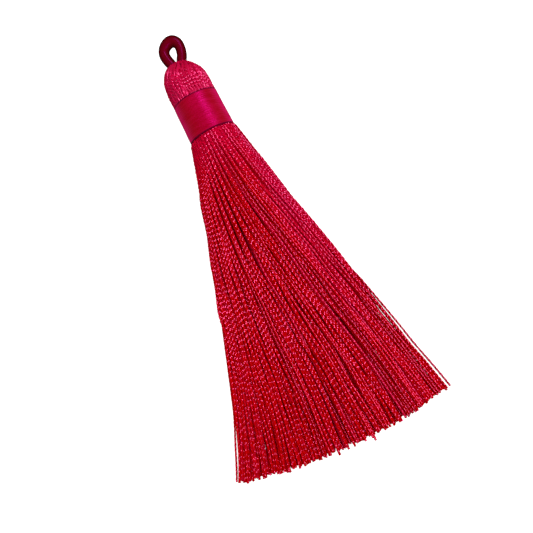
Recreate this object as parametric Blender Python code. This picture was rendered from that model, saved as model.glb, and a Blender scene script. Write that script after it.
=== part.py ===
"""A silk tassel lying on a surface: a hank of twisted yarn folded over a cord loop, bound at the neck.

+Y runs up the tassel to the loop, +X is across it, +Z is up, and z = 0 is the surface that it lies on.
The origin is on that surface, under the middle of the neck binding. Units are metres.
"""

import math
import random

import bmesh
import bpy
from mathutils import Vector

MM = 0.001
GAP = 0.3 * MM  # clearance between neighbouring pieces
WELD = 0.001 * MM  # distance within which a curve's caps join its wall

# Head: the hank from its crown down to the neck.
AXIS_HEIGHT = 4.0 * MM  # head's centre line above the surface
HEAD_SIDES = 64  # points round the head, every second one on a yarn ridge
RIDGE = 0.08 * MM  # how far a yarn ridge stands out of the head

# Neck binding: a sleeve of fine thread wound over the hank.
WRAP_LENGTH = 6.94 * MM
WRAP_RADIUS = 4.15 * MM
WRAP_THICKNESS = 0.35 * MM
WRAP_SIDES = 48
WRAP_EDGE = 0.12 * MM  # rounding of its two rims
WRAP_SWELL = 0.05 * MM  # how much fuller the binding is half-way along
NECK_RADIUS = WRAP_RADIUS - WRAP_THICKNESS - GAP

# Skirt: the hank's strands below the binding.
STRAND_COUNT = 300
STRAND_LENGTH = 60.8 * MM
STRAND_SIDE = 0.34 * MM  # side of a strand's three-sided section
STRAND_FOOT = STRAND_SIDE / math.sqrt(12)  # from a strand's middle down to its flat
STRAND_BENDS = (1.6 * MM, 12.0 * MM, 32.0 * MM)  # distances below the neck where a strand's route turns
ROOT_DEPTH = 0.5 * MM  # how far a strand reaches into the neck
ROOT_TAPER = 0.72  # thickness at the root, as a share of the strand's
ROOT_SPREAD = 2.9 * MM  # radius of the bundle where it is fused into the neck
MOUTH_SPREAD = 3.9 * MM  # radius of the bundle just below the binding
FAN_MIDDLE = math.radians(-3.9)  # the skirt swings a little towards -X
FAN_HALF = math.radians(15.4)  # from the skirt's middle to its edge
BUNDLE_AREA = 56.0 * MM * MM  # cross-section of the loosely packed skirt
SETTLED_AT = 25.0 * MM  # distance below the neck where the whole skirt lies on the surface
UNEVEN_CUT = 0.35 * MM  # spread of the strands' lengths
LONG_STRAND = 0.7 * MM  # how much longer the few uncut strands are
LONG_EVERY = 23
GOLDEN = (math.sqrt(5) - 1) / 2
SEED = 7

# Loop cord.
CORD_RADIUS = 0.83 * MM

# Head sections from the neck up to the crown and down into the socket that the loop's legs fill:
# height along +Y, half width across X, half width across Z, squareness (2 is an ellipse), sideways shift,
# and whether yarn ridges show there.
HEAD_SECTIONS = [
    # along, half_x, half_z, square, shift, ridged
    (-3.50, 3.50, 3.50, 2.0, 0.00, False),
    (3.77, 3.50, 3.50, 2.0, 0.00, False),
    (4.15, 3.92, 3.92, 2.0, -0.05, True),
    (5.20, 4.06, 4.04, 2.0, -0.10, True),
    (6.40, 3.98, 3.98, 2.0, -0.12, True),
    (7.60, 3.82, 3.80, 2.0, -0.14, True),
    (8.60, 3.58, 3.48, 2.0, -0.16, True),
    (9.40, 3.24, 3.00, 2.0, -0.18, True),
    (10.05, 2.86, 2.40, 2.2, -0.16, True),
    (10.60, 2.66, 1.75, 2.5, -0.10, True),
    (10.80, 2.58, 1.30, 3.0, -0.05, False),
    (10.30, 2.54, 1.16, 3.0, 0.00, False),
    (7.80, 2.40, 1.16, 3.0, 0.00, False),
]

# Centre line of the loop cord in its own flat plane, from one leg's end to the other's.
LOOP_ROUTE = [
    # across, along
    (-1.18, 8.15),
    (-1.42, 10.70),
    (-1.68, 12.60),
    (-1.22, 14.65),
    (0.32, 15.50),
    (1.72, 14.55),
    (1.80, 12.60),
    (1.44, 10.70),
    (1.18, 8.15),
]

# Strands that stray out of the skirt's edges.
STRAYS = [
    # side, rank from that edge, opening angle in degrees
    (-1, 0, 0.8),
    (1, 0, 1.9),
    (1, 1, 1.2),
]


def clear_scene():
    for old in list(bpy.data.objects):
        bpy.data.objects.remove(old, do_unlink=True)


def new_collection(name):
    made = bpy.data.collections.new(name)
    bpy.context.scene.collection.children.link(made)
    return made


def material(name, colour, roughness, sheen):
    made = bpy.data.materials.new(name)
    made.use_nodes = True
    shader = made.node_tree.nodes["Principled BSDF"]
    shader.inputs["Base Color"].default_value = (*colour, 1.0)
    shader.inputs["Roughness"].default_value = roughness
    shader.inputs["Metallic"].default_value = 0.0
    shader.inputs["Sheen Weight"].default_value = sheen
    made.diffuse_color = (*colour, 1.0)
    return made


def smoothstep(x):
    x = min(max(x, 0.0), 1.0)
    return x * x * (3 - 2 * x)


def mesh_object(name, bm, collection):
    bmesh.ops.recalc_face_normals(bm, faces=bm.faces)
    mesh = bpy.data.meshes.new(name)
    bm.to_mesh(mesh)
    bm.free()
    made = bpy.data.objects.new(name, mesh)
    collection.objects.link(made)
    return made


def rest_on_surface(bm):
    """The soft underside flattens where it meets the surface."""
    for vertex in bm.verts:
        vertex.co.z = max(vertex.co.z, 0.0)


def signed_power(value, power):
    return math.copysign(abs(value) ** power, value)


def head_section(along, half_x, half_z, square, shift, ridged):
    """The points of one head section, a rounded outline across the Y axis."""
    points = []
    for i in range(HEAD_SIDES):
        angle = 2 * math.pi * i / HEAD_SIDES
        stand_out = RIDGE * (i % 2) if ridged else 0.0
        x = (half_x * MM + stand_out) * signed_power(math.cos(angle), 2 / square)
        z = (half_z * MM + stand_out) * signed_power(math.sin(angle), 2 / square)
        points.append(Vector((x + shift * MM, along * MM, z + AXIS_HEIGHT)))
    return points


def build_head(collection):
    """The head as a loft through its sections, closed at the neck and at the socket's floor."""
    bm = bmesh.new()
    rings = [[bm.verts.new(p) for p in head_section(*row)] for row in HEAD_SECTIONS]
    for lower, upper in zip(rings, rings[1:]):
        for i in range(HEAD_SIDES):
            j = (i + 1) % HEAD_SIDES
            bm.faces.new((lower[i], lower[j], upper[j], upper[i]))
    bm.faces.new(rings[0])
    bm.faces.new(rings[-1])
    rest_on_surface(bm)
    return mesh_object("yarn_hank", bm, collection)


def strand_seats():
    """(across, up) of each strand in the bundle's unit disc, in rows that each step sideways by the
    golden ratio, so the strands stay apart however the bundle is flattened."""
    pitch = math.sqrt(math.pi / STRAND_COUNT)
    reach = int(2 / pitch)
    seats = []
    for row in range(-reach, reach + 1):
        for column in range(-reach, reach + 1):
            across = (column + (row * GOLDEN) % 1.0 - 0.5) * pitch
            seats.append((across, (row + 0.5) * pitch))
    seats.sort(key=lambda seat: math.hypot(*seat))
    return seats[:STRAND_COUNT]


def strand_point(across, up, angle, reach):
    """Where a strand is at a distance below the neck: the round bundle fans out and settles on the surface."""
    width = 2 * (MOUTH_SPREAD + reach * math.sin(FAN_HALF))
    depth = min(2 * MOUTH_SPREAD, BUNDLE_AREA / (width * math.pi / 4))
    settled = smoothstep(reach / SETTLED_AT)
    chord = math.sqrt(max(0.0, 1 - across * across))
    lowest = (1 - settled) * (AXIS_HEIGHT - MOUTH_SPREAD * chord)
    height = lowest + depth * (up + chord) / 2
    return Vector(
        (
            across * MOUTH_SPREAD + reach * math.sin(angle),
            -WRAP_LENGTH / 2 - reach * math.cos(angle),
            max(height, STRAND_FOOT),
        )
    )


def strand_routes():
    """Each strand's points, from its root in the neck to its cut end."""
    dice = random.Random(SEED)
    seats = sorted(strand_seats())
    opening = {}
    for side, rank, degrees in STRAYS:
        index = rank if side < 0 else len(seats) - 1 - rank
        opening[index] = side * math.radians(degrees)
    routes = []
    for i, (across, up) in enumerate(seats):
        angle = FAN_MIDDLE + FAN_HALF * across + opening.get(i, 0.0)
        length = STRAND_LENGTH + dice.uniform(-UNEVEN_CUT, UNEVEN_CUT)
        if i % LONG_EVERY == LONG_EVERY // 2:
            length += LONG_STRAND
        root = Vector(
            (
                across * ROOT_SPREAD,
                -WRAP_LENGTH / 2 + ROOT_DEPTH,
                AXIS_HEIGHT + up * ROOT_SPREAD,
            )
        )
        places = [strand_point(across, up, angle, reach) for reach in (*STRAND_BENDS, length)]
        routes.append([root] + places)
    return routes


def build_strands(collection):
    """All the skirt's strands as one mesh, made from a curve with a three-sided section."""
    section = bpy.data.curves.new("strand_section", "CURVE")
    outline = section.splines.new("POLY")
    outline.points.add(2)
    outline.use_cyclic_u = True
    for i, point in enumerate(outline.points):
        angle = math.radians(90 + 120 * i)
        radius = STRAND_SIDE / math.sqrt(3)
        point.co = (radius * math.cos(angle), radius * math.sin(angle), 0, 1)
    profile = bpy.data.objects.new("strand_section", section)
    collection.objects.link(profile)

    curve = bpy.data.curves.new("strand_curves", "CURVE")
    curve.dimensions = "3D"
    curve.twist_mode = "Z_UP"
    curve.bevel_mode = "OBJECT"
    curve.bevel_object = profile
    curve.use_fill_caps = True
    for route in strand_routes():
        spline = curve.splines.new("POLY")
        spline.points.add(len(route) - 1)
        for place, point in zip(route, spline.points):
            point.co = (*place, 1)
        spline.points[0].radius = ROOT_TAPER
    bundle = bpy.data.objects.new("strand_curves", curve)
    collection.objects.link(bundle)

    bpy.context.view_layer.update()
    graph = bpy.context.evaluated_depsgraph_get()
    mesh = bpy.data.meshes.new_from_object(bundle.evaluated_get(graph))
    bpy.data.objects.remove(bundle)
    bpy.data.objects.remove(profile)
    bm = bmesh.new()
    bm.from_mesh(mesh)
    bmesh.ops.remove_doubles(bm, verts=bm.verts, dist=WELD)
    return mesh_object("skirt_strands", bm, collection)


def build_hank(collection, helpers, yarn):
    """The hank is one piece: the strands are fused into the neck at their roots."""
    hank = build_head(collection)
    hank.data.materials.append(yarn)
    strands = build_strands(helpers)
    strands.data.materials.append(yarn)
    strands.hide_render = True
    strands.display_type = "WIRE"
    join = hank.modifiers.new("join_strands", "BOOLEAN")
    join.operation = "UNION"
    join.object = strands
    return hank


def build_wrap(collection, thread):
    """The neck binding: a closed section swept round the head's axis, flat where it rests."""
    half = WRAP_LENGTH / 2
    inner = WRAP_RADIUS - WRAP_THICKNESS
    section = [
        # along, radius
        (half, inner),
        (half, WRAP_RADIUS - WRAP_EDGE),
        (half - WRAP_EDGE, WRAP_RADIUS),
        (half / 2, WRAP_RADIUS + WRAP_SWELL),
        (0.0, WRAP_RADIUS + WRAP_SWELL),
        (-half / 2, WRAP_RADIUS + WRAP_SWELL),
        (-half + WRAP_EDGE, WRAP_RADIUS),
        (-half, WRAP_RADIUS - WRAP_EDGE),
        (-half, inner),
    ]
    bm = bmesh.new()
    loop = [bm.verts.new((0, along, AXIS_HEIGHT + radius)) for along, radius in section]
    edges = [bm.edges.new((a, b)) for a, b in zip(loop, loop[1:] + loop[:1])]
    bmesh.ops.spin(
        bm,
        geom=loop + edges,
        cent=(0, 0, AXIS_HEIGHT),
        axis=(0, 1, 0),
        angle=2 * math.pi,
        steps=WRAP_SIDES,
        use_merge=True,
    )
    rest_on_surface(bm)
    made = mesh_object("neck_wrap", bm, collection)
    made.data.materials.append(thread)
    return made


def build_loop(collection, cord):
    """The hanging loop: one cord whose two legs go down into the head."""
    curve = bpy.data.curves.new("hanging_loop", "CURVE")
    curve.dimensions = "3D"
    curve.bevel_depth = CORD_RADIUS
    curve.bevel_resolution = 4
    curve.resolution_u = 5
    curve.use_fill_caps = True
    spline = curve.splines.new("BEZIER")
    spline.bezier_points.add(len(LOOP_ROUTE) - 1)
    for (across, along), point in zip(LOOP_ROUTE, spline.bezier_points):
        point.co = (across * MM, along * MM, 0)
        point.handle_left_type = "AUTO"
        point.handle_right_type = "AUTO"
    made = bpy.data.objects.new("hanging_loop", curve)
    made.location = (0, 0, AXIS_HEIGHT)
    made.data.materials.append(cord)
    collection.objects.link(made)
    return made


def main():
    clear_scene()
    tassel = new_collection("silk_tassel")
    helpers = new_collection("helpers")
    yarn = material("silk_yarn", (0.56, 0.004, 0.03), 0.38, 0.3)
    thread = material("binding_thread", (0.45, 0.001, 0.05), 0.32, 0.2)
    cord = material("loop_cord", (0.13, 0.002, 0.014), 0.45, 0.2)
    build_hank(tassel, helpers, yarn)
    build_wrap(tassel, thread)
    build_loop(tassel, cord)


main()
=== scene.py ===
"""A silk tassel laid out on a pale surface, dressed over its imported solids.

Sizes are in metres. +Y runs up the tassel to its loop, +X is across it, +Z is up and z = 0 is the surface.
"""

import math
import random

import bmesh
import bpy
import numpy as np
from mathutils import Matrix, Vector


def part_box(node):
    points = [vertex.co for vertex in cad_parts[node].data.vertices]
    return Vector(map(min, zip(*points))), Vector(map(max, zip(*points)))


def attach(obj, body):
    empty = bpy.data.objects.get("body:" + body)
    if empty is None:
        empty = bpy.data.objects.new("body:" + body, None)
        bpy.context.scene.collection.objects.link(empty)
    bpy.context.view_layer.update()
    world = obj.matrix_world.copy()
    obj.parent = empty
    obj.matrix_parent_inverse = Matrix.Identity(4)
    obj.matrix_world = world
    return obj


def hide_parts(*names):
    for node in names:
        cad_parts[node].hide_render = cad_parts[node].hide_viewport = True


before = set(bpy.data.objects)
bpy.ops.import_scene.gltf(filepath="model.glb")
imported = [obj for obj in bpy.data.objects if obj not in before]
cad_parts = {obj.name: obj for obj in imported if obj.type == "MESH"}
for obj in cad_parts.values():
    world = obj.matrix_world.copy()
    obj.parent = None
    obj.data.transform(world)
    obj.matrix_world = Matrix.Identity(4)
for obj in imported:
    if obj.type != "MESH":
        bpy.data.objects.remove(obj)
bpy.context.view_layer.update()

# ---------------------------------------------------------------- hanging loop
# A short length of burgundy satin cord, round and smooth, bent into a teardrop. Its two legs go down
# between the folded yarns of the head, which hold it there.
MM = 0.001
loop_low, loop_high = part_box("hanging_loop")
LOOP_HEIGHT = (loop_low.z + loop_high.z) / 2
CORD_SIDES = 28
CORD_BRAID = 0.45 * MM  # length of one plait of the satin cover
CORD_COLOUR = "#670009"
CORD_SHADE = "#520004"
CORD_PAINTED_SHADE = "#0C0000"  # painted shade on the cord's sides, where it turns away from the eye
CORD_GLOSS = "#D000B0"
CORD_STATION = 0.25 * MM
CORD_RELIEF = 0.05 * MM  # how far a plait stands up
CORD_TURN = 0.62  # how early the painted shade darkens its colour as it turns away
CORD_ROUGHNESS = 0.25
CORD_SHINE = 0.28  # level of its highlight
LOOP_ROUTE = [
    # across, along and the cord's radius in mm, from one leg's end to the other's
    (-0.95, 8.40, 0.88),
    (-1.00, 10.60, 0.91),
    (-1.32, 11.90, 0.96),
    (-1.42, 13.10, 0.97),
    (-0.92, 14.10, 1.00),
    (0.08, 14.70, 1.05),
    (0.95, 14.70, 1.05),
    (1.58, 14.05, 0.99),
    (1.68, 13.00, 0.92),
    (1.36, 11.75, 0.90),
    (0.78, 10.60, 0.90),
    (0.60, 8.40, 0.88),
]


def linear(hex_colour):
    """An sRGB hex colour as linear RGBA."""
    levels = [int(hex_colour[i : i + 2], 16) / 255 for i in (1, 3, 5)]
    return [c / 12.92 if c <= 0.04045 else ((c + 0.055) / 1.055) ** 2.4 for c in levels] + [1.0]


def add_node(tree, kind, links=None, **settings):
    """A new node; settings are its properties or sockets, and links maps a socket to what feeds it."""
    node = tree.nodes.new(kind)
    for name, value in settings.items():
        if hasattr(node, name):
            setattr(node, name, value)
        else:
            node.inputs[name.replace("_", " ")].default_value = value
    for name, source in (links or {}).items():
        tree.links.new(source, node.inputs[name])
    return node


def new_material(name):
    """A material with an empty Principled shader, its tree and the shader."""
    made = bpy.data.materials.new(name)
    made.use_nodes = True
    tree = made.node_tree
    return made, tree, tree.nodes["Principled BSDF"]


def tube_mesh(name, routes, outline, crisp=None):
    """A mesh of closed tubes, the outline swept along each route of places, radii and turns.

    crisp says of each place of each route whether the lengthwise edges are sharp there.
    """
    section = bpy.data.curves.new(name + "_section", "CURVE")
    ring = section.splines.new("POLY")
    ring.points.add(len(outline) - 1)
    ring.use_cyclic_u = True
    ring.points.foreach_set("co", [v for x, y in outline for v in (x, y, 0, 1)])
    profile = bpy.data.objects.new(name + "_section", section)
    curve = bpy.data.curves.new(name, "CURVE")
    curve.dimensions = "3D"
    curve.twist_mode = "MINIMUM"
    curve.bevel_mode = "OBJECT"
    curve.bevel_object = profile
    for places, radii, turns in routes:
        spline = curve.splines.new("POLY")
        spline.points.add(len(places) - 1)
        spline.points.foreach_set("co", [v for place in places for v in (*place, 1)])
        spline.points.foreach_set("radius", radii)
        spline.points.foreach_set("tilt", turns)
    swept = bpy.data.objects.new(name, curve)
    bpy.context.scene.collection.objects.link(profile)
    bpy.context.scene.collection.objects.link(swept)
    bpy.context.view_layer.update()
    graph = bpy.context.evaluated_depsgraph_get()
    mesh = bpy.data.meshes.new_from_object(swept.evaluated_get(graph))
    for gone in (swept, profile):
        data = gone.data
        bpy.data.objects.remove(gone)
        bpy.data.curves.remove(data)
    mesh.name = name
    bm = bmesh.new()
    bm.from_mesh(mesh)
    ends = bmesh.ops.holes_fill(bm, edges=[edge for edge in bm.edges if edge.is_boundary], sides=len(outline))
    for face in ends["faces"]:
        face.smooth = False
    bmesh.ops.recalc_face_normals(bm, faces=bm.faces)
    bm.to_mesh(mesh)
    bm.free()
    if crisp is not None:
        corners = np.empty(2 * len(mesh.edges), int)
        mesh.edges.foreach_get("vertices", corners)
        corners = corners.reshape(-1, 2)
        lengthwise = corners[:, 0] % len(outline) == corners[:, 1] % len(outline)
        of_crisp = np.repeat(np.concatenate(crisp), len(outline))
        sharp = mesh.attributes.new("sharp_edge", "BOOLEAN", "EDGE")
        sharp.data.foreach_set("value", lengthwise & of_crisp[corners[:, 0]])
    return mesh


def add_piece(mesh, material, node):
    """Puts a finished mesh in the scene, riding on the tassel and standing for a node's solid."""
    piece = bpy.data.objects.new(mesh.name, mesh)
    bpy.context.scene.collection.objects.link(piece)
    mesh.materials.clear()
    mesh.materials.append(material)
    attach(piece, "root")
    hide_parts(node)
    return piece


def smooth_route(corners, spacing):
    """Evenly spaced points along a smooth curve through the corners."""
    knots = np.array(corners, float)
    ends = np.vstack([2 * knots[0] - knots[1], knots, 2 * knots[-1] - knots[-2]])
    fine = []
    for a, b, c, d in zip(ends, ends[1:], ends[2:], ends[3:]):
        square, cube = 2 * a - 5 * b + 4 * c - d, 3 * b - a - 3 * c + d
        for t in np.linspace(0, 1, 24, endpoint=False):
            fine.append(0.5 * (2 * b + (c - a) * t + square * t**2 + cube * t**3))
    fine = np.array(fine + [knots[-1]])
    run = np.concatenate([[0], np.cumsum(np.linalg.norm(np.diff(fine, axis=0), axis=1))])
    stops = np.linspace(0, run[-1], max(2, round(run[-1] / spacing)))
    return np.column_stack([np.interp(stops, run, axis) for axis in fine.T])


def circle(sides):
    """A unit circle's corners."""
    return [(math.cos(2 * math.pi * i / sides), math.sin(2 * math.pi * i / sides)) for i in range(sides)]


def satin_cord_material():
    """Satin rattail cord: rayon floss plaited tightly over a core, dark, with a soft violet lustre and
    painted shade on its sides.
    """
    made, tree, shader = new_material("burgundy_satin_cord")
    where = add_node(tree, "ShaderNodeTexCoord").outputs["Object"]
    grain = add_node(tree, "ShaderNodeTexNoise", {"Vector": where}, Scale=1 / CORD_BRAID, Detail=3.0)
    colour = add_node(tree, "ShaderNodeMix", {"Factor": grain.outputs["Fac"]}, data_type="RGBA")
    colour.inputs["A"].default_value = linear(CORD_SHADE)
    colour.inputs["B"].default_value = linear(CORD_COLOUR)
    # Painted shade: the colour darkens towards the cord's sides, where it turns away from the eye.
    facing = add_node(tree, "ShaderNodeLayerWeight", Blend=CORD_TURN).outputs["Facing"]
    turned = add_node(tree, "ShaderNodeMix", {"Factor": facing}, data_type="RGBA")
    tree.links.new(colour.outputs["Result"], turned.inputs["A"])
    turned.inputs["B"].default_value = linear(CORD_PAINTED_SHADE)
    tree.links.new(turned.outputs["Result"], shader.inputs["Base Color"])
    plaits = {"Height": grain.outputs["Fac"]}
    bump = add_node(tree, "ShaderNodeBump", plaits, Strength=0.25, Distance=CORD_RELIEF)
    tree.links.new(bump.outputs["Normal"], shader.inputs["Normal"])
    shader.inputs["Roughness"].default_value = CORD_ROUGHNESS
    shader.inputs["Specular IOR Level"].default_value = CORD_SHINE
    shader.inputs["Specular Tint"].default_value = linear(CORD_GLOSS)
    return made


loop_corners = [(x * MM, y * MM, LOOP_HEIGHT, radius * MM) for x, y, radius in LOOP_ROUTE]
loop_places = smooth_route(loop_corners, CORD_STATION)
loop_route = (loop_places[:, :3], list(loop_places[:, 3]), [0.0] * len(loop_places))
loop_mesh = tube_mesh("loop_cord", [loop_route], circle(CORD_SIDES))
add_piece(loop_mesh, satin_cord_material(), "hanging_loop")

# ------------------------------------------------------------------- silk yarn
# The hank is one yarn, a glossy crimson floss of three plies twisted together. Each ply shows as a ridge
# that winds round the strand, and catches the light once as it comes over the top.
YARN_RADIUS = 0.27 * MM
PLIES = 3
TIGHT_SHOULDER = math.radians(26)  # from a ply's ridge to the shoulders beside it, in the head
LOOSE_SHOULDER = math.radians(24)  # the same in the skirt
PLY_VALLEY = 0.5  # depth of the groove between plies, as a share of the radius
TIGHT_TWIST = 1.9 * MM  # one whole turn of the twist in the head
LOOSE_TWIST = 3.05 * MM  # the same where the free ends have let the twist go
TWIST_HAND = -1  # 1 or -1, the way the plies wind
UNEVEN_TWIST = 0.08  # spread of the twist from strand to strand, as a share
RINGS_PER_TURN = 9
LONGEST_RING = 0.36 * MM
# The tones differ from strand to strand.
YARN_TONES = [(0.0, "#980000"), (0.35, "#C00000"), (0.8, "#BA0001"), (1.0, "#B20021")]
SHEEN_TONES = [(0.0, "#AD002C"), (1.0, "#C90040")]  # the same with a painted pink sheen, laid near the neck and along the +X edge
NECK_SHEEN = (-15 * MM, 4 * MM)  # how far up the tassel that painted sheen begins near the neck and is full
EDGE_SHEEN_SLANT = (1 / 14, 1 / 6)  # across over along, from the fan's tip, where the painted sheen begins at the +X edge, the lamps' side, and is full
EDGE_SHEEN_FADES = (-46 * MM, -16 * MM)  # how far up the tassel that painted sheen at the edge begins and is full
EDGE_SHEEN_SHARE = 0.6  # how much of that painted sheen there is at most
FAN_TIP = 19 * MM  # how far up the fan's lines would meet
YARN_GLOSS = "#F45498"
GLOSS_PATCH = 0.4 * MM  # about the length of yarn over which the fibres lie alike
GLOSS_RANGE = (0.04, 0.2)  # roughness where they lie flattest and most ruffled
GLOSS_SPREAD = (0.4, 0.65)  # the patches' noise where they lie flattest and most ruffled
GLOSS_BY_STRAND = 0.4  # how much of it differs from strand to strand
HEAD_DULL = 0.2  # how much rougher the yarn is drawn over the head, where its dots of light are softer
DULL_FROM = (1 * MM, 2 * MM)  # how far up the tassel that begins and is full
YARN_COAT = (0.1, 0.05)  # weight and roughness of the sharper glint over that gloss
YARN_IOR = 2.15  # silk's own is about 1.55, and it is raised until the dots of light are bright enough
FIBRE_WIDTH = 0.06 * MM  # drawn several times coarser than a silk fibre, so that it shows
FIBRE_RELIEF = 0.01 * MM


def yarn_outline(radius, shoulder):
    """The plied yarn's outline: a valley and two shoulders for each ply."""
    corners = []
    for ply in range(PLIES):
        ridge = 2 * math.pi * ply / PLIES
        for angle, share in ((-math.pi / PLIES, PLY_VALLEY), (-shoulder, 1), (shoulder, 1)):
            turn = ridge + angle
            corners.append((share * radius * math.cos(turn), share * radius * math.sin(turn)))
    return corners


def yarn_material():
    """Mercerised silk floss: deep crimson, with a pink sheen where a ply turns to the light, and more pink
    sheen painted into its colour near the neck and along the +X edge.
    """
    made, tree, shader = new_material("crimson_silk_floss")
    where = add_node(tree, "ShaderNodeTexCoord").outputs["Object"]
    island = add_node(tree, "ShaderNodeNewGeometry").outputs["Random Per Island"]
    tones = []
    for stops in (YARN_TONES, SHEEN_TONES):
        ramp = add_node(tree, "ShaderNodeValToRGB", {"Fac": island})
        for place, colour in stops[1:-1]:
            ramp.color_ramp.elements.new(place)
        for element, (place, colour) in zip(ramp.color_ramp.elements, stops):
            element.position = place
            element.color = linear(colour)
        tones.append(ramp.outputs["Color"])
    axes = add_node(tree, "ShaderNodeSeparateXYZ", {"Vector": where})
    up_it = {"Value": axes.outputs["Y"]}
    neck = add_node(tree, "ShaderNodeMapRange", up_it, interpolation_type="SMOOTHSTEP")
    neck.inputs["From Min"].default_value, neck.inputs["From Max"].default_value = NECK_SHEEN
    depth = add_node(tree, "ShaderNodeMath", {1: axes.outputs["Y"]}, operation="SUBTRACT")
    depth.inputs[0].default_value = FAN_TIP
    fan = {0: axes.outputs["X"], 1: depth.outputs["Value"]}
    slant = {"Value": add_node(tree, "ShaderNodeMath", fan, operation="DIVIDE").outputs["Value"]}
    edge = add_node(tree, "ShaderNodeMapRange", slant, interpolation_type="SMOOTHSTEP")
    edge.inputs["From Min"].default_value, edge.inputs["From Max"].default_value = EDGE_SHEEN_SLANT
    edge.inputs["To Max"].default_value = EDGE_SHEEN_SHARE
    fades = add_node(tree, "ShaderNodeMapRange", up_it)
    fades.inputs["From Min"].default_value, fades.inputs["From Max"].default_value = EDGE_SHEEN_FADES
    both = {0: edge.outputs["Result"], 1: fades.outputs["Result"]}
    edge = add_node(tree, "ShaderNodeMath", both, operation="MULTIPLY")
    # Painted sheen: near the neck, over the head and along the +X edge the colour is mixed towards pinker
    # tones, standing for the lamps' pink lustre.
    either = {0: neck.outputs["Result"], 1: edge.outputs["Value"]}
    painted_sheen = add_node(tree, "ShaderNodeMath", either, operation="MAXIMUM")
    colour = add_node(tree, "ShaderNodeMix", {"Factor": painted_sheen.outputs["Value"]}, data_type="RGBA")
    tree.links.new(tones[0], colour.inputs["A"])
    tree.links.new(tones[1], colour.inputs["B"])
    tree.links.new(colour.outputs["Result"], shader.inputs["Base Color"])
    fibres = add_node(tree, "ShaderNodeTexNoise", {"Vector": where}, Scale=1 / FIBRE_WIDTH, Detail=2.0)
    relief = {"Height": fibres.outputs["Fac"]}
    bump = add_node(tree, "ShaderNodeBump", relief, Strength=0.1, Distance=FIBRE_RELIEF)
    tree.links.new(bump.outputs["Normal"], shader.inputs["Normal"])
    patches = add_node(tree, "ShaderNodeTexNoise", {"Vector": where}, Scale=1 / GLOSS_PATCH, Detail=1.0)
    lie = {0: island, 2: patches.outputs["Fac"]}
    ruffled = add_node(tree, "ShaderNodeMath", lie, operation="MULTIPLY_ADD")
    ruffled.inputs[1].default_value = GLOSS_BY_STRAND
    gloss = add_node(tree, "ShaderNodeMapRange", {"Value": ruffled.outputs["Value"]})
    gloss.inputs["From Min"].default_value = GLOSS_SPREAD[0]
    gloss.inputs["From Max"].default_value = GLOSS_SPREAD[1] + GLOSS_BY_STRAND
    gloss.inputs["To Min"].default_value = GLOSS_RANGE[0]
    gloss.inputs["To Max"].default_value = GLOSS_RANGE[1]
    head = add_node(tree, "ShaderNodeMapRange", up_it)
    head.inputs["From Min"].default_value, head.inputs["From Max"].default_value = DULL_FROM
    head.inputs["To Max"].default_value = HEAD_DULL
    rough = {0: gloss.outputs["Result"], 1: head.outputs["Result"]}
    dull = add_node(tree, "ShaderNodeMath", rough, operation="ADD")
    tree.links.new(dull.outputs["Value"], shader.inputs["Roughness"])
    shader.inputs["IOR"].default_value = YARN_IOR
    shader.inputs["Coat Weight"].default_value = YARN_COAT[0]
    shader.inputs["Coat Roughness"].default_value = YARN_COAT[1]
    shader.inputs["Specular IOR Level"].default_value = 1.0
    shader.inputs["Specular Tint"].default_value = linear(YARN_GLOSS)
    return made


def twist_stations(length, relaxing, evenness=1.0):
    """Distances along a strand at even steps of its twist, and the turn at each.

    relaxing gives how loose it is at a distance: 0 is tight and 1 is loose.
    """
    fine = np.linspace(0, length, 400)
    twist = evenness * (TIGHT_TWIST + (LOOSE_TWIST - TIGHT_TWIST) * relaxing(fine))
    turned = np.concatenate([[0], np.cumsum(np.diff(fine) * 2 * math.pi / twist[1:])])
    density = np.maximum(RINGS_PER_TURN / twist, 1 / LONGEST_RING)
    rings = np.concatenate([[0], np.cumsum(np.diff(fine) * density[1:])])
    stops = np.interp(np.linspace(0, rings[-1], max(2, round(rings[-1]))), rings, fine)
    return stops, np.interp(stops, fine, turned)


yarn = yarn_material()

# ------------------------------------------------------------------------- head
# The hank is folded over the loop, so its strands rise out of the crown round the cord's legs as a
# collar of smooth ribs, spread over the round head and run down under the binding. More strands come
# up between them as the head widens. A filling of inner yarn shows only as the dark between strands.
wrap_low, wrap_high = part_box("neck_wrap")
NECK_END = wrap_low.y  # the binding's lower edge
AXIS_HEIGHT = 4.0 * MM
HEAD_STRANDS = 48
HEAD_STATION = 0.1 * MM
HEAD_SIDES = 64  # of the filling
HEAD_PRESS = 1.2  # how much wider the strands are pressed there than below
HEAD_UNEVEN = 0.04  # how far a strand lies above or below its neighbours, in mm
HEAD_JITTER = 0.02  # the same round the head, in radians
CROWN_SWIRL = 0.5  # how far the strands turn round the crown towards +X, in radians
SWIRL_FROM = 7  # where that turn starts, in mm up the head, and over how much it grows
SWIRL_OVER = 4
CROWN_SMOOTH = (4.9 * MM, 0.7 * MM)  # how much of a strand is smooth there, and more on the +X side
CROWN_LOOSE = 20  # how loose its twist is drawn there, as relaxing gives it
NECK_LOOSE = 5  # the same beside the binding
NECK_SMOOTH = (1.2 * MM, 2.0 * MM)  # where the smooth part beside the binding ends, from a strand's root
NECK_SMOOTH_SIDE = 0.7 * MM  # how much longer that part is on the -X side
SHORT_START = 8.7  # where the strands between start, in mm up the head
SHORT_SPREAD = (-0.5, 0.4)  # how much lower or higher each may start
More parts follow.
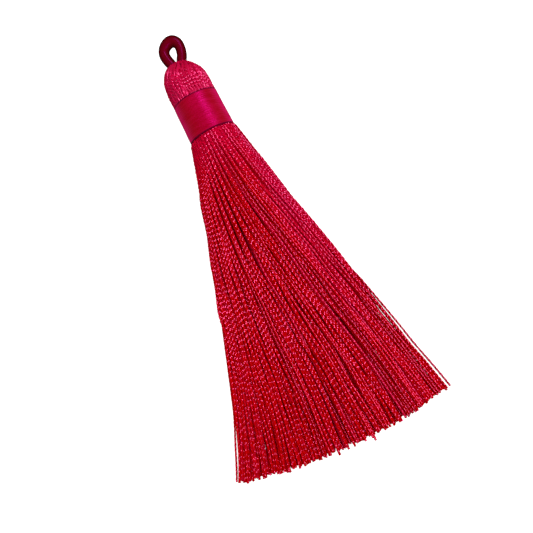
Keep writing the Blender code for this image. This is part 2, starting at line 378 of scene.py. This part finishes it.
HEAD_FORM = [
    # along, half across, half up, shift sideways, in mm, from under the binding to inside the collar
    (2.6, 3.52, 3.50, -0.12),
    (3.5, 3.76, 3.74, -0.14),
    (4.5, 3.82, 3.80, -0.17),
    (5.8, 3.78, 3.76, -0.17),
    (7.1, 3.65, 3.60, -0.18),
    (8.2, 3.34, 3.26, -0.24),
    (9.0, 2.90, 2.76, -0.33),
    (9.55, 2.44, 2.25, -0.40),
    (9.95, 2.05, 1.75, -0.40),
    (10.25, 1.85, 1.40, -0.30),
    (10.40, 1.70, 1.20, -0.15),
    (10.30, 1.55, 1.05, -0.10),
    (9.70, 1.50, 0.95, -0.05),
]
SHORT_TUCK = (0.4, 2.5, 2.0, -0.35)  # where a strand between ends, past its start and under the others


def head_place(row, angle, lift=0.0):
    """A place on the head's surface: at a row of its form, turned from the top towards +X."""
    along, half_across, half_up, shift = row
    return (
        ((half_across + lift) * math.sin(angle) + shift) * MM,
        along * MM,
        AXIS_HEIGHT + (half_up + lift) * math.cos(angle) * MM,
    )


def smoothstep(x):
    """0 below 0 and 1 above 1, with an even curve between."""
    x = np.clip(x, 0, 1)
    return x * x * (3 - 2 * x)


def head_strand(number, rng):
    """A head strand's corners: every second one reaches the collar, the others start between them."""
    turn = 2 * math.pi * (number + 0.5) / HEAD_STRANDS
    full = number % 2 == 0
    start = HEAD_FORM[-1][0] + 1 if full else SHORT_START + rng.uniform(*SHORT_SPREAD)
    corners = []
    for row in HEAD_FORM:
        if row[0] > start:
            break
        swirl = CROWN_SWIRL * smoothstep((row[0] - SWIRL_FROM) / SWIRL_OVER)
        corners.append(
            head_place(row, turn + swirl + rng.gauss(0, HEAD_JITTER), rng.gauss(0, HEAD_UNEVEN))
        )
    if not full:
        corners.append(head_place((start + SHORT_TUCK[0], *SHORT_TUCK[1:]), turn))
    return corners


def head_routes():
    """The head strands' routes, and where along each its plies are tight and so crisp."""
    rng = random.Random(23)
    routes, crisp = [], []
    for number in range(HEAD_STRANDS):
        places = smooth_route(head_strand(number, rng), HEAD_STATION)
        run = np.concatenate([[0], np.cumsum(np.linalg.norm(np.diff(places, axis=0), axis=1))])
        side = math.sin(2 * math.pi * (number + 0.5) / HEAD_STRANDS)
        smooth = CROWN_SMOOTH[0] + CROWN_SMOOTH[1] * side if number % 2 == 0 else 0
        stops, turns = twist_stations(
            run[-1],
            lambda s: CROWN_LOOSE * smoothstep((s - run[-1] + smooth + MM) / (2 * MM))
            + NECK_LOOSE * (1 - smoothstep((s - NECK_SMOOTH[0]) / (NECK_SMOOTH[1] - NECK_SMOOTH[0]))),
        )
        route = np.column_stack([np.interp(stops, run, axis) for axis in places.T])
        routes.append((route, [HEAD_PRESS] * len(route), list(TWIST_HAND * turns + rng.uniform(0, 6))))
        crisp.append((stops > NECK_SMOOTH[1] - NECK_SMOOTH_SIDE * side) & (stops < run[-1] - smooth))
    return routes, crisp


head_pieces, head_crisp = head_routes()
head_mesh = tube_mesh("head_strands", head_pieces, yarn_outline(YARN_RADIUS, TIGHT_SHOULDER), head_crisp)
add_piece(head_mesh, yarn, "yarn_hank")


def spun(name, outline, height, sides):
    """A closed solid of revolution about the head's axis, from (along, radius) pairs."""
    bm = bmesh.new()
    loop = [bm.verts.new((0, along, height + radius)) for along, radius in outline]
    edges = [bm.edges.new(pair) for pair in zip(loop, loop[1:])]
    bmesh.ops.spin(
        bm,
        geom=loop + edges,
        cent=(0, 0, height),
        axis=(0, 1, 0),
        angle=2 * math.pi,
        steps=sides,
        use_merge=True,
    )
    bmesh.ops.remove_doubles(bm, verts=bm.verts, dist=0.001 * MM)
    bmesh.ops.recalc_face_normals(bm, faces=bm.faces)
    for face in bm.faces:
        face.smooth = True
    mesh = bpy.data.meshes.new(name)
    bm.to_mesh(mesh)
    bm.free()
    return mesh


INNER_GAP = 0.1  # how far the filling lies below the strands' middle, in mm
FILLING_FOOT = [(-4.0, 0.0), (-4.0, 3.2), (2.6, 3.3)]  # along and across in mm, down inside the skirt
FILLING_TOP = [(9.4, 2.0), (9.0, 0.0)]  # the same in the crown, where the cord's legs go in
filling = FILLING_FOOT + [(along, across - INNER_GAP) for along, across, _, _ in HEAD_FORM[1:9]] + FILLING_TOP
inner_mesh = spun("inner_yarn", [(a * MM, r * MM) for a, r in filling], AXIS_HEIGHT, HEAD_SIDES)
for vertex in inner_mesh.vertices:
    for low, high in zip(HEAD_FORM, HEAD_FORM[1:9]):
        if low[0] * MM <= vertex.co.y <= high[0] * MM:
            share = (vertex.co.y / MM - low[0]) / (high[0] - low[0])
            flatness = (low[2] + (high[2] - low[2]) * share) / (low[1] + (high[1] - low[1]) * share)
            vertex.co.z = AXIS_HEIGHT + (vertex.co.z - AXIS_HEIGHT) * flatness
            vertex.co.x += (low[3] + (high[3] - low[3]) * share) * MM
            break
add_piece(inner_mesh, yarn, "yarn_hank")

# ------------------------------------------------------------------------ skirt
# The hank's strands below the binding. They are packed side by side where they leave the neck, fan out,
# and settle on the surface, where they gather in small locks with dark grooves between.
BUNDLE_RADIUS = 4.05 * MM  # middle of the outermost strands, just below the binding
NECK_SQUEEZE = 0.94  # how much the binding draws the bundle in
SQUEEZE_OVER = 0.5 * MM
ROOT_LENGTH = 1.5 * MM  # how far the strands go on under the binding
STRAND_PITCH = 0.55 * MM
LAYER_PITCH = 0.47 * MM
STRAND_LENGTH = 61.6 * MM
STRAND_THICKNESS = (0.86, 1.04)  # least and most, as a share of the yarn's
STRAND_LUMPS = 0.06  # spread of its thickness from one place to the next, as a share
NECK_PRESS = 0.38  # how much wider a strand is pressed where it leaves the neck
PRESS_ENDS = 26 * MM
UNEVEN_CUT = 0.35 * MM
LONG_SHARE = 0.05  # share of the strands that were cut longer
LONG_STRAND = 0.9 * MM
LONG_SPREAD = (0.3, 1)  # least and most of that
RELAXED_AT = 36 * MM  # where the twist has let go
HALF_RELAXED = 0.2  # how far it has already where the strands leave the neck
FAN_MIDDLE = math.radians(-2.75)
FAN_HALF = math.radians(15.15)
FLARE = 1.8 * MM  # how far the -X edge bends out by the hem
FLARE_STARTS = 43 * MM
BUNDLE_SHIFT = -0.12 * MM  # how far to the side of the axis the bundle leaves the binding
ROLL = 0.65  # how far the bundle has rolled over towards +X by the hem, in radians
EDGE_FILLING = 8  # the power of the settled skirt's profile: higher keeps more strands at its edges
BUNDLE_AREA = 58.0 * MM * MM
SETTLED_AT = 25.0 * MM
STATION = 1.5 * MM
SETTLING_STEPS = 22
SETTLING_PUSH = 0.35
SETTLING_PULL = 0.03
SETTLING_FALL = 0.004 * MM
WIDEST_GAP = 0.3 * MM  # between neighbours as seen from above; a wider one closes up
LOCKS = [
    # locks across half the skirt, turns down its length, strength at the hem in mm
    (3.1, 0.7, 0.14),
    (5.3, -1.3, 0.12),
    (7.9, 1.9, 0.08),
]
LOCK_DEPTH = (0.4, 0.6)  # share of that strength at middle height, and how much more at the top
LOOSENS = (4 * MM, 30 * MM)  # where locks and drift begin, and over how far they grow
LOCK_SHEAR = 2.2  # how much the locks of the top strands differ from those beneath, in radians
DRIFT_ACROSS = 0.28 * MM  # how far a strand wanders over and under its neighbours, across and up
DRIFT_UP = 0.18 * MM
DRIFT_WAVES = (15 * MM, 40 * MM)
WANDER = 0.06 * MM  # how far a strand strays from straight after it has settled
WANDER_WAVES = (9, 30)  # shortest and longest wave of it, in mm
WANDER_GROWS = 8 * MM
STRAYS = [
    # side, rank from that edge, where it leaves the rest, where it is furthest out, how far, and at its end
    (-1, 0, 38 * MM, 54 * MM, 0.35 * MM, 0.35 * MM),
    (1, 0, 30 * MM, 61 * MM, 0.5 * MM, 0.5 * MM),
    (1, 1, 17 * MM, 36 * MM, 0.3 * MM, 0.0 * MM),
]
STRAY_THICKNESS = 0.75
SLACK_SHARE = (0.3, 0.25)  # share of strands whose plies lie slack: in the middle, and more towards +X
SLACK_REACH = 15 * MM  # how far across that "more" is counted
SKIRT_PIECES = 5


def skirt_seats():
    """(across, up) of each strand in the neck's unit disc, in rings from the outside in."""
    rng = random.Random(8)
    seats = []
    radius = BUNDLE_RADIUS
    while radius > 0:
        count = max(1, round(2 * math.pi * radius / STRAND_PITCH))
        start = rng.uniform(0, 2 * math.pi)
        for i in range(count):
            angle = start + 2 * math.pi * i / count
            seats.append((radius * math.sin(angle), radius * math.cos(angle)))
        radius -= LAYER_PITCH
    return np.array(seats) / BUNDLE_RADIUS


def settled_across(across):
    """Where the strands go across the settled skirt, which is flatter than the neck is round."""
    fine = np.linspace(-1, 1, 401)
    round_share = np.cumsum(np.sqrt(1 - fine**2))
    flat_share = np.cumsum(np.sqrt(1 - np.abs(fine) ** EDGE_FILLING))
    share = np.interp(across, fine, round_share / round_share[-1])
    return np.interp(share, flat_share / flat_share[-1], fine)


def half_width(distance):
    """Half the fan's width at a distance below the neck."""
    return BUNDLE_RADIUS + distance * math.sin(FAN_HALF)


def wandering(rng, count):
    """Two slow waves for each strand and direction: amount, waves per metre and phase."""
    waves = [(rng.uniform(-1, 1), 1 / rng.uniform(*DRIFT_WAVES), rng.random()) for _ in range(4 * count)]
    return np.array(waves).reshape(count, 2, 2, 3)


def homes_at(seats, distance, phases, waves):
    """Where the strands would lie at a distance below the neck if they had no thickness."""
    roll = ROLL * (1 - (1 - min(1, distance / STRAND_LENGTH)) ** 2)
    own_across, own_up = seats.T
    across = own_across * math.cos(roll) + own_up * math.sin(roll)
    up = own_up * math.cos(roll) - own_across * math.sin(roll)
    half = half_width(distance)
    depth = min(2 * BUNDLE_RADIUS, BUNDLE_AREA / (half * math.pi / 2))
    settled = smoothstep(distance / SETTLED_AT)
    chord = np.sqrt(np.clip(1 - across**2, 0, 1))
    sideways = half * (across + (settled_across(across) - across) * settled)
    growth = smoothstep((distance - LOOSENS[0]) / LOOSENS[1])
    for (count, turns, strength), phase in zip(LOCKS, phases):
        wave = math.pi * count * own_across + 2 * math.pi * turns * distance / STRAND_LENGTH
        lock = np.sin(wave + phase + LOCK_SHEAR * own_up)
        sideways = sideways + strength * MM * growth * lock * (LOCK_DEPTH[0] + LOCK_DEPTH[1] * up)
    lowest = (1 - settled) * (AXIS_HEIGHT - BUNDLE_RADIUS * chord)
    drift = (waves[..., 0] * np.sin(2 * math.pi * (waves[..., 1] * distance + waves[..., 2]))).sum(axis=2)
    sideways = sideways + growth * DRIFT_ACROSS * drift[:, 0]
    return np.column_stack([sideways, lowest + depth * (up + chord) / 2 + growth * DRIFT_UP * drift[:, 1]])


def settle(places, homes, thickness):
    """Pushes strands that overlap apart, and holds all of them on or above the surface."""
    for _ in range(SETTLING_STEPS):
        apart = places[:, None] - places[None]
        distance = np.hypot(apart[..., 0], apart[..., 1]) + np.eye(len(places))
        push = np.clip(thickness - distance, 0, None) / distance * SETTLING_PUSH
        places = places + (apart * push[..., None]).sum(axis=1) + (homes - places) * SETTLING_PULL
        places[:, 1] = np.maximum(places[:, 1] - SETTLING_FALL, thickness / 2)
        order = np.argsort(places[:, 0])
        closing = np.clip(np.diff(places[order, 0]) - WIDEST_GAP, 0, None) / 2
        places[order[:-1], 0] += closing
        places[order[1:], 0] -= closing
    return places


def skirt_sections(seats):
    """The strands' settled places in each section of the skirt, one after the other down its length."""
    rng = random.Random(11)
    phases = [rng.uniform(0, 2 * math.pi) for _ in LOCKS]
    sections = []
    distances = np.arange(0, STRAND_LENGTH + 2 * STATION, STATION)
    waves = wandering(rng, len(seats))
    homes = homes_at(seats, 0, phases, waves)
    places = homes
    for distance in distances:
        next_homes = homes_at(seats, distance, phases, waves)
        places = settle(places + next_homes - homes, next_homes, 2 * YARN_RADIUS)
        homes = next_homes
        sections.append(places)
    sections = np.array(sections)
    for _ in range(2):
        sections[1:-1] = (sections[:-2] + 2 * sections[1:-1] + sections[2:]) / 4
    return distances, sections


def skirt_strands():
    """Each strand's places from its root under the binding to its cut end, with its turns."""
    rng = random.Random(5)
    seats = skirt_seats()
    distances, sections = skirt_sections(seats)
    strands = []
    for i in range(len(seats)):
        length = STRAND_LENGTH + rng.uniform(-UNEVEN_CUT, UNEVEN_CUT)
        if rng.random() < LONG_SHARE:
            length += rng.uniform(*LONG_SPREAD) * LONG_STRAND
        stops, turns = twist_stations(
            length + ROOT_LENGTH,
            lambda s: HALF_RELAXED + (1 - HALF_RELAXED) * np.clip((s - ROOT_LENGTH) / RELAXED_AT, 0, 1),
            rng.gauss(1, UNEVEN_TWIST),
        )
        stops = stops - ROOT_LENGTH
        below = np.clip(stops, 0, None)
        across = np.interp(below, distances, sections[:, i, 0]) / half_width(below)
        height = np.interp(below, distances, sections[:, i, 1])
        squeeze = NECK_SQUEEZE + (1 - NECK_SQUEEZE) * smoothstep(stops / SQUEEZE_OVER)
        angle = FAN_MIDDLE + FAN_HALF * across
        flaring = np.clip((below - FLARE_STARTS) / (STRAND_LENGTH - FLARE_STARTS), 0, 1)
        flare = FLARE * np.clip(-across, 0, 1) ** 1.5 * flaring**2
        x = BUNDLE_SHIFT + squeeze * BUNDLE_RADIUS * across + below * np.sin(angle) - flare
        for _ in range(3):
            wave = 2 * math.pi * below / (rng.uniform(*WANDER_WAVES) * MM) + rng.uniform(0, 6)
            x = x + rng.uniform(-1, 1) * WANDER * np.sin(wave) * smoothstep(below / WANDER_GROWS)
        y = NECK_END - stops * np.cos(angle)
        z = AXIS_HEIGHT + (height - AXIS_HEIGHT) * squeeze
        thickness = rng.uniform(*STRAND_THICKNESS) * (1 + NECK_PRESS * (1 - smoothstep(below / PRESS_ENDS)))
        thickness = thickness * [rng.gauss(1, STRAND_LUMPS) for _ in stops]
        turns = list(TWIST_HAND * turns + rng.uniform(0, 6))
        strands.append((np.column_stack([x, y, z]), thickness, turns, x[-1]))
    return strands


skirt = sorted(skirt_strands(), key=lambda strand: strand[3])
for side, rank, leaves, furthest, most, at_end in STRAYS:
    places, thickness = skirt[rank if side < 0 else -1 - rank][:2]
    thickness *= STRAY_THICKNESS
    below = NECK_END - places[:, 1]
    out = smoothstep((below - leaves) / (furthest - leaves)) * most
    back = 0
    if furthest < STRAND_LENGTH - MM:
        back = smoothstep((below - furthest) / (STRAND_LENGTH - furthest)) * (most - at_end)
    places[:, 0] += side * (out - back)
per_piece = math.ceil(len(skirt) / SKIRT_PIECES)
rng = random.Random(2)
for number in range(SKIRT_PIECES):
    group = skirt[number * per_piece : (number + 1) * per_piece]
    routes = [strand[:3] for strand in group]
    slack = [rng.random() < SLACK_SHARE[0] + SLACK_SHARE[1] * strand[3] / SLACK_REACH for strand in group]
    crisp = [[not is_slack] * len(strand[0]) for is_slack, strand in zip(slack, group)]
    mesh = tube_mesh(f"skirt_strands_{number + 1}", routes, yarn_outline(YARN_RADIUS, LOOSE_SHOULDER), crisp)
    add_piece(mesh, yarn, "yarn_hank")

# ----------------------------------------------------------------- neck binding
# One fine silk thread wound tightly round and round the neck, side by side, about 7 mm wide. The thread
# is hardly twisted, so its turns press flat and close up, and only a shallow line shows between them.
BINDING_THREAD = 0.35 * MM  # from one turn to the next
BINDING_TOP_RADIUS = 4.14 * MM
BINDING_HEM_RADIUS = 4.30 * MM
BINDING_SHIFT = -0.14 * MM
BINDING_RIDGE = 0.03 * MM  # how far a turn stands above the lines beside it
BINDING_TURN_IN = 0.35 * MM  # how far its rims turn in towards the yarn
BINDING_SKIN = 0.3 * MM  # how deep its wavering reaches
BINDING_SIDES = 120
BINDING_SLIP = 0.05 * MM  # how far the turns waver up and down
BINDING_LUMP = 0.03 * MM  # and in and out
BINDING_WAVES = 8
WAVES_ROUND = (1, 5)  # fewest and most of one of those waves round the neck
WAVES_ALONG = (0.6, 2.5)  # the same along it, in radians to the mm
BINDING_RIM = (0.3 * MM, 0.1 * MM)  # from its rims, where the painted shade cast by the yarn beside them begins and is full
BINDING_COLOUR = "#9F0004"
BINDING_SHADE = "#830001"
BINDING_SHADOW = "#4E0000"
BINDING_EDGE_SHEEN = "#C90052"  # painted magenta sheen, where the floss is seen from the side
BINDING_GLOSS = "#FF00A8"
BINDING_STREAK = 0.95 * MM
BINDING_GRAIN = (0.35, 1.6, 0.35)  # the streaks are drawn out round the neck and close along it
BINDING_RELIEF = 0.12 * MM
BINDING_FACING = 0.35
BINDING_TURN = (0.18, 0.6)  # where its colour starts to change to the painted sheen as it turns away, and has
BINDING_ROUGHNESS = (0.32, 0.48)
BINDING_IOR = 1.6


def binding_mesh():
    """The wound thread as a stack of shallow ridges, wavering a little as hand-wound turns do."""
    length = wrap_high.y - wrap_low.y
    turns = round(length / BINDING_THREAD)
    outline = [(wrap_low.y, 0.0), (wrap_low.y, BINDING_HEM_RADIUS - BINDING_TURN_IN)]
    for step in range(4 * turns + 1):
        share = step / (4 * turns)
        ridge = BINDING_RIDGE * (abs(math.sin(math.pi * step / 4)) - 1)
        radius = BINDING_HEM_RADIUS + (BINDING_TOP_RADIUS - BINDING_HEM_RADIUS) * share + ridge
        outline.append((wrap_low.y + length * share, radius))
    outline += [(wrap_high.y, BINDING_TOP_RADIUS - BINDING_TURN_IN), (wrap_high.y, 0.0)]
    mesh = spun("neck_binding", outline, AXIS_HEIGHT, BINDING_SIDES)
    rng = random.Random(3)
    waves = []
    for _ in range(BINDING_WAVES):
        count, along = rng.randint(*WAVES_ROUND), rng.uniform(*WAVES_ALONG) / MM
        waves.append((count, along, rng.uniform(0, 6), rng.uniform(-1, 1)))
    for vertex in mesh.vertices:
        x, y, z = vertex.co.x, vertex.co.y, vertex.co.z - AXIS_HEIGHT
        radius = math.hypot(x, z)
        if radius > BINDING_TOP_RADIUS - BINDING_SKIN:
            turn = math.atan2(x, z)
            slip = sum(size * math.sin(n * turn + phase + y * along) for n, along, phase, size in waves) / 3
            lump = sum(size * math.cos(n * turn - phase + y * along) for n, along, phase, size in waves) / 3
            grown = (radius + BINDING_LUMP * lump) / radius
            vertex.co = (x * grown, y + BINDING_SLIP * slip, max(0.0, AXIS_HEIGHT + z * grown))
        vertex.co.x += BINDING_SHIFT
    return mesh


def binding_material():
    """Untwisted silk filament: crimson, with a magenta lustre that lies along the neck like satin's, a
    magenta sheen painted where it turns away and painted shade at its rims.
    """
    made, tree, shader = new_material("wound_silk_thread")
    where = add_node(tree, "ShaderNodeTexCoord").outputs["Object"]
    round_it = add_node(tree, "ShaderNodeMapping", {"Vector": where})
    round_it.inputs["Scale"].default_value = BINDING_GRAIN
    drawn_out = {"Vector": round_it.outputs["Vector"]}
    streaks = add_node(tree, "ShaderNodeTexNoise", drawn_out, Scale=1 / BINDING_STREAK, Detail=3.0)
    colour = add_node(tree, "ShaderNodeMix", {"Factor": streaks.outputs["Fac"]}, data_type="RGBA")
    colour.inputs["A"].default_value = linear(BINDING_SHADE)
    colour.inputs["B"].default_value = linear(BINDING_COLOUR)
    # Painted sheen: the colour turns magenta where the binding turns away from the eye, on its sides.
    facing = add_node(tree, "ShaderNodeLayerWeight", Blend=BINDING_FACING).outputs["Facing"]
    side = add_node(tree, "ShaderNodeMapRange", {"Value": facing}, interpolation_type="SMOOTHSTEP")
    side.inputs["From Min"].default_value, side.inputs["From Max"].default_value = BINDING_TURN
    turned = add_node(tree, "ShaderNodeMix", {"Factor": side.outputs["Result"]}, data_type="RGBA")
    tree.links.new(colour.outputs["Result"], turned.inputs["A"])
    turned.inputs["B"].default_value = linear(BINDING_EDGE_SHEEN)
    axes = add_node(tree, "ShaderNodeSeparateXYZ", {"Vector": where})
    off_middle = add_node(tree, "ShaderNodeMath", {0: axes.outputs["Y"]}, operation="SUBTRACT")
    off_middle.inputs[1].default_value = (wrap_low.y + wrap_high.y) / 2
    off_middle = add_node(tree, "ShaderNodeMath", {0: off_middle.outputs["Value"]}, operation="ABSOLUTE")
    away = {"Value": off_middle.outputs["Value"]}
    # Painted shade at both rims, where the outer turns sink into the yarn; their gloss is dulled there too.
    rim = add_node(tree, "ShaderNodeMapRange", away, interpolation_type="SMOOTHSTEP")
    half_length = (wrap_high.y - wrap_low.y) / 2
    rim.inputs["From Min"].default_value = half_length - BINDING_RIM[0]
    rim.inputs["From Max"].default_value = half_length - BINDING_RIM[1]
    shaded = add_node(tree, "ShaderNodeMix", {"Factor": rim.outputs["Result"]}, data_type="RGBA")
    tree.links.new(turned.outputs["Result"], shaded.inputs["A"])
    shaded.inputs["B"].default_value = linear(BINDING_SHADOW)
    tree.links.new(shaded.outputs["Result"], shader.inputs["Base Color"])
    streaked = {"Value": streaks.outputs["Fac"]}
    rough = add_node(tree, "ShaderNodeMapRange", streaked, From_Min=0.35, From_Max=0.65)
    rough.inputs["To Min"].default_value, rough.inputs["To Max"].default_value = BINDING_ROUGHNESS
    sunk = {0: rough.outputs["Result"], 1: rim.outputs["Result"]}
    dull = add_node(tree, "ShaderNodeMath", sunk, operation="ADD")
    tree.links.new(dull.outputs["Value"], shader.inputs["Roughness"])
    relief = {"Height": streaks.outputs["Fac"]}
    bump = add_node(tree, "ShaderNodeBump", relief, Strength=0.6, Distance=BINDING_RELIEF)
    tree.links.new(bump.outputs["Normal"], shader.inputs["Normal"])
    shader.inputs["IOR"].default_value = BINDING_IOR
    shader.inputs["Specular IOR Level"].default_value = 1.0
    shader.inputs["Specular Tint"].default_value = linear(BINDING_GLOSS)
    return made


add_piece(binding_mesh(), binding_material(), "neck_wrap")

# ------------------------------------------------------------------- floor, light and camera
# A white table top, seen from straight above and close. Two soft lamps on the right light the skirt and
# the binding, and a faint one on the left fills the head. The floor and the ambient light are kept out of
# the yarn's reflections, so that only the lamps make highlights.
CAMERA_HEIGHT = 96 * MM
FRAME_PIXELS = 533
FOCAL_PIXELS = 516
NECK_PIXEL = (205.0, 117.3)
HEAD_LEAN = math.radians(27)  # how far the tassel leans to the left, as the camera sees it
SENSOR = 36.0
AMBIENT = 0.74
TABLE_SIZE = 1.5
TABLE_COLOUR = "#C0C0C0"
TABLE_GLOW = 0.9
LAMPS = [
    # name, place, what it points at, width and depth in metres, watts, whether reflections show it
    ("key_light", (0.15, -0.13, 0.28), (0, -0.03, 0), 0.20, 0.11, 0.43, True),
    ("second_light", (0.14, 0.13, 0.26), (0, -0.01, 0), 0.11, 0.11, 0.40, True),
    ("head_light", (-0.05, 0.05, 0.12), (0, 0, 0), 0.08, 0.08, 0.055, False),
]

floor_mesh = bpy.data.meshes.new("table_top")
floor_bm = bmesh.new()
bmesh.ops.create_grid(floor_bm, x_segments=1, y_segments=1, size=TABLE_SIZE)
floor_bm.to_mesh(floor_mesh)
floor_bm.free()
table_top = bpy.data.objects.new("table_top", floor_mesh)
bpy.context.scene.collection.objects.link(table_top)
white, _, white_shader = new_material("white_card")
white_shader.inputs["Base Color"].default_value = linear(TABLE_COLOUR)
white_shader.inputs["Roughness"].default_value = 0.9
white_shader.inputs["Specular IOR Level"].default_value = 0.1
white_shader.inputs["Emission Color"].default_value = (1, 1, 1, 1)
white_shader.inputs["Emission Strength"].default_value = TABLE_GLOW
floor_mesh.materials.append(white)
table_top.visible_glossy = False
table_top.visible_diffuse = False

scene = bpy.context.scene
scene.view_settings.view_transform = "Standard"
world = bpy.data.worlds.new("studio")
scene.world = world
world.use_nodes = True
world.node_tree.nodes["Background"].inputs["Color"].default_value = (1, 1, 1, 1)
world.node_tree.nodes["Background"].inputs["Strength"].default_value = AMBIENT
world.cycles_visibility.glossy = False

for name, place, target, width, depth, watts, shows in LAMPS:
    lamp = bpy.data.lights.new(name, "AREA")
    lamp.shape = "RECTANGLE"
    lamp.size = width
    lamp.size_y = depth
    lamp.energy = watts
    light = bpy.data.objects.new(name, lamp)
    light.location = place
    light.rotation_euler = (Vector(target) - Vector(place)).to_track_quat("-Z", "Y").to_euler()
    light.visible_camera = False
    light.visible_glossy = shows
    scene.collection.objects.link(light)

right = Vector((math.cos(HEAD_LEAN), -math.sin(HEAD_LEAN), 0))
up = Vector((math.sin(HEAD_LEAN), math.cos(HEAD_LEAN), 0))
scale = (CAMERA_HEIGHT - AXIS_HEIGHT) / FOCAL_PIXELS
offset = right * (NECK_PIXEL[0] - FRAME_PIXELS / 2) * scale - up * (NECK_PIXEL[1] - FRAME_PIXELS / 2) * scale
camera_data = bpy.data.cameras.new("camera")
camera_data.sensor_width = SENSOR
camera_data.lens = SENSOR * FOCAL_PIXELS / FRAME_PIXELS
camera_data.clip_start = 1 * MM
camera_data.clip_end = 10
camera = bpy.data.objects.new("camera", camera_data)
camera.location = Vector((0, 0, CAMERA_HEIGHT)) - offset
camera.rotation_euler = (0, 0, -HEAD_LEAN)
bpy.context.scene.collection.objects.link(camera)
scene.camera = camera
